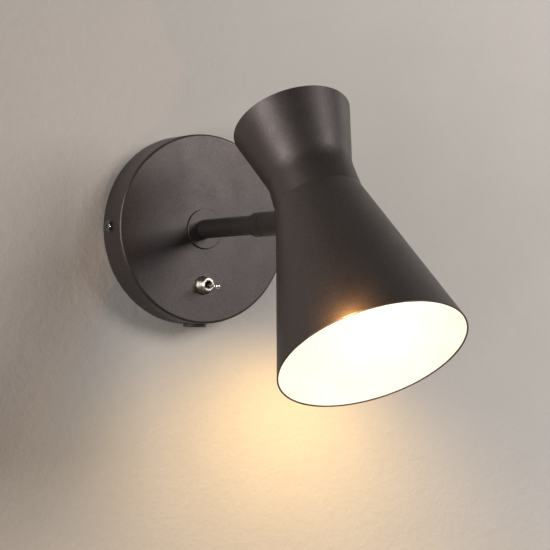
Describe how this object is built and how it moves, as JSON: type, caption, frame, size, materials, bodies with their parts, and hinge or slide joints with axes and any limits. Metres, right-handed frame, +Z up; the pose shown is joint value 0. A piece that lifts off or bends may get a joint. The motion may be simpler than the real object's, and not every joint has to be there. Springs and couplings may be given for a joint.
{
  "type": "wall light",
  "caption": "Round-backed wall light with a straight arm, a swivelling and tilting knuckle joint, a flared spot shade over a globe lamp, and a toggle switch on its canopy.",
  "frame": {"origin": "midway between the bracket's two wall-screw slots, on the wall face of the bracket", "axes": "+Y into the wall along the wall screws, +Z up the wall, +X to the right as seen from the room"},
  "size_m": [0.1242, 0.2587, 0.1861],
  "materials": {
    "black_coat": "fine-textured powder coat",
    "black_satin": "satin paint",
    "black_chrome": "polished black plating",
    "nickel": "polished nickel plating",
    "zinc_steel": "zinc plated",
    "brass": "bright",
    "black_plastic": "matte",
    "white_plastic": "matte",
    "grommet_rubber": "matte",
    "opal_globe": "opal, smooth",
    "lamp_body": "smooth"
  },
  "bodies": {
    "wall_base": {"wall_bracket": "zinc_steel", "canopy": "black_coat", "side_screws": "black_chrome", "side_rings": "black_chrome", "cable_grommet": "grommet_rubber", "terminal_block": "white_plastic", "terminal_screws": "brass", "terminal_fixings": "zinc_steel", "earth_screw": "brass", "earth_washer": "brass", "arm_flange": "black_satin", "arm_tube": "black_satin", "rear_nipple": "zinc_steel", "arm_lock_washer": "zinc_steel", "arm_nut": "zinc_steel", "toggle_frame": "nickel", "toggle_case": "black_plastic", "toggle_lugs": "brass", "toggle_dress_nut": "nickel", "toggle_inner_nut": "nickel", "front_nipple": "zinc_steel", "knuckle_socket": "black_satin", "swivel_washer": "black_plastic", "swivel_stop_screw": "black_chrome"},
    "toggle": {"toggle_lever": "nickel"},
    "swivel": {"knuckle_fork": "black_satin", "retaining_ring": "black_satin", "pivot_screw": "black_chrome", "pivot_washers": "black_plastic"},
    "head": {"knuckle_tongue": "black_satin", "saddle_washer": "black_satin", "stud_washer": "zinc_steel", "stud_nut": "zinc_steel", "holder_bracket": "zinc_steel", "holder_nipple": "zinc_steel", "holder_nut": "zinc_steel", "holder_lock_washer": "zinc_steel", "holder_cap": "black_plastic", "holder_sleeve": "black_plastic", "holder_insert": "black_plastic", "holder_shell": "brass", "holder_contact": "brass", "bulb_cap": "nickel", "bulb_base": "lamp_body", "bulb_globe": "opal_globe", "shade": "black_coat", "top_cap": "black_coat"}
  },
  "joints": [
    {"name": "pan", "type": "hinge", "parent": "wall_base", "child": "swivel", "pos_m": [0, -0.09725, 0], "axis": [0, -1, 0], "range_deg": [-160, 160]},
    {"name": "tilt", "type": "hinge", "parent": "swivel", "child": "head", "pos_m": [0, -0.11745, 0], "axis": [-1, 0, 0], "range_deg": [-45, 45]},
    {"name": "toggle", "type": "hinge", "parent": "wall_base", "child": "toggle", "pos_m": [0, -0.0235, -0.0354], "axis": [-1, 0, 0], "range_deg": [0, 8]}
  ]
}
